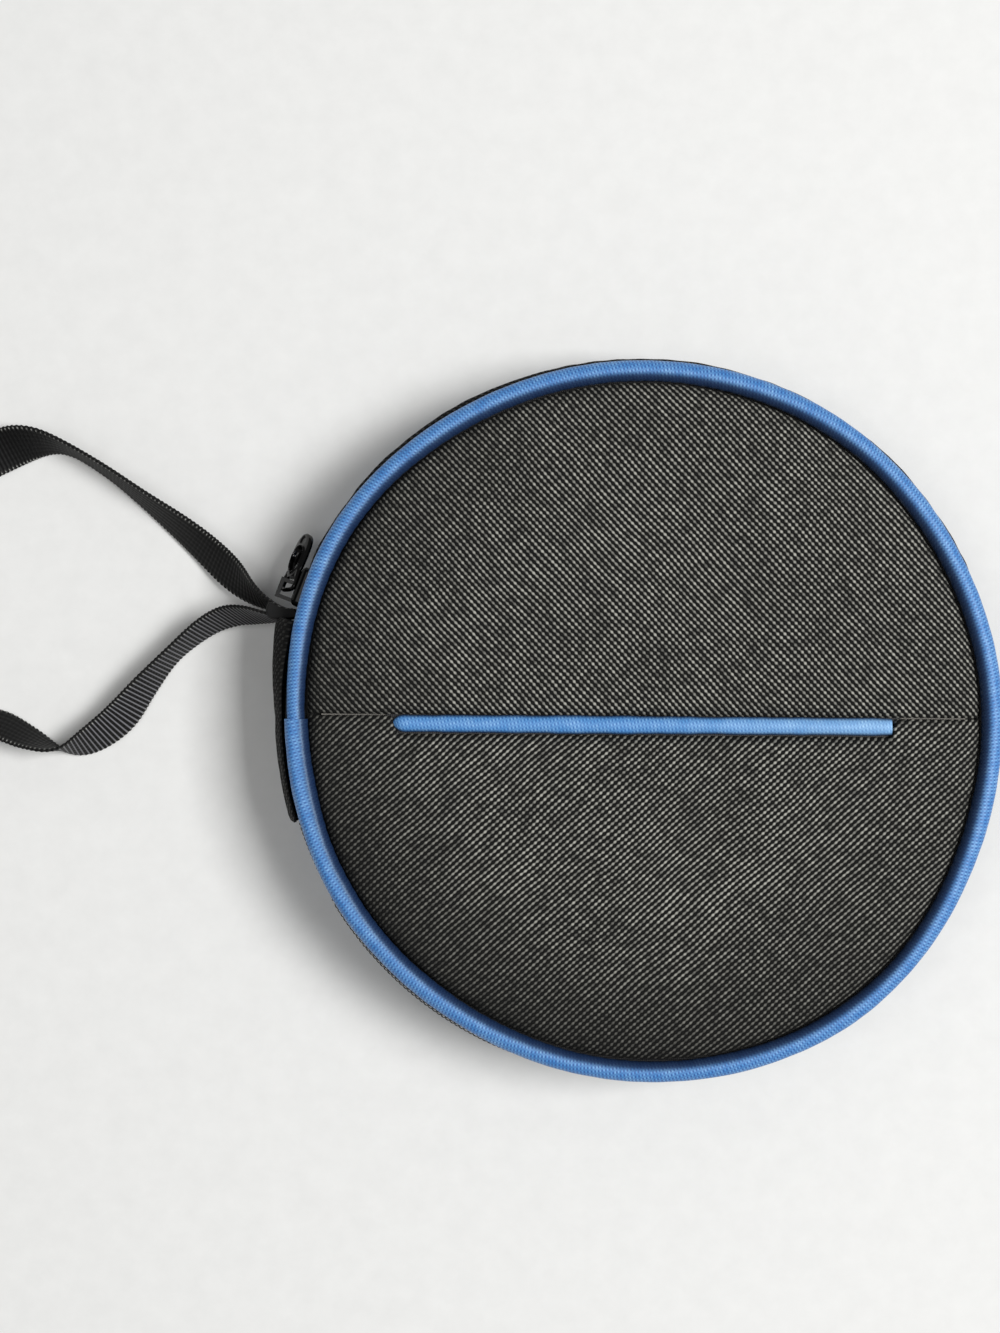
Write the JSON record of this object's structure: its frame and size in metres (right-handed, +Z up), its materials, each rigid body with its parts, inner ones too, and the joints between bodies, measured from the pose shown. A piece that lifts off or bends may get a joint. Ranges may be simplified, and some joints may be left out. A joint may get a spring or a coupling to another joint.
{
  "type": "cd storage case",
  "caption": "Round soft disc wallet with two padded cloth shells, coloured piping, a zip round the wall, a front slit pocket, a wrist strap and sleeves inside.",
  "frame": {"origin": "centre of the flat middle of the back panel, on the surface that the case lies on", "axes": "+Z up through the front cover, +Y towards the top of the front as pictured, +X to the right, away from the spine"},
  "size_m": [0.2594, 0.158, 0.03],
  "materials": {
    "shell_cloth": "plain weave, matt",
    "piping_cloth": "fine ribbed, matt",
    "slit_piping_cloth": "fine ribbed, matt",
    "board": "matt",
    "lining_cloth": "smooth, matt",
    "zip_tape": "woven tape",
    "zip_coil": "satin nylon",
    "zip_metal": "gloss enamel",
    "sleeve_film": "frosted film",
    "webbing": "woven webbing"
  },
  "bodies": {
    "back_case": {"back_panel": "shell_cloth", "back_piping": "piping_cloth", "back_board": "board", "back_lining": "lining_cloth", "back_wall": "shell_cloth", "back_zip_tape": "zip_tape", "back_zip_coil": "zip_coil", "zip_end_upper": "zip_tape", "zip_end_lower": "zip_tape", "sleeve_pages": "sleeve_film", "sleeve_binding": "lining_cloth", "wrist_strap": "webbing"},
    "spine": {"spine_panel": "shell_cloth", "spine_lining": "lining_cloth"},
    "front_cover": {"front_panel": "shell_cloth", "pocket_panel": "shell_cloth", "pocket_piping": "slit_piping_cloth", "pocket_lining": "lining_cloth", "front_piping": "piping_cloth", "front_board": "board", "front_lining": "lining_cloth", "front_wall": "shell_cloth", "front_zip_tape": "zip_tape", "front_zip_coil": "zip_coil"},
    "slider": {"zip_slider": "zip_metal"},
    "pull": {"zip_pull": "zip_metal"}
  },
  "joints": [
    {"name": "spine_fold", "type": "hinge", "parent": "back_case", "child": "spine", "pos_m": [-0.078, 0, 0.004], "axis": [0, -1, 0], "range_deg": [0, 90], "deforming": ["wrist_strap"]},
    {"name": "cover_fold", "type": "hinge", "parent": "spine", "child": "front_cover", "pos_m": [-0.078, 0, 0.026], "axis": [0, -1, 0], "range_deg": [0, 90], "deforming": ["wrist_strap"]},
    {"name": "zip_travel", "type": "hinge", "parent": "back_case", "child": "slider", "pos_m": [0, 0, 0.015], "axis": [0, 0, 1], "range_deg": [-313, 0], "deforming": ["back_zip_coil", "front_zip_coil"]},
    {"name": "pull_swing", "type": "hinge", "parent": "slider", "child": "pull", "pos_m": [-0.07784, 0.02837, 0.015], "axis": [0.6145, 0.0934, 0.7834], "range_deg": [0, 100]}
  ]
}
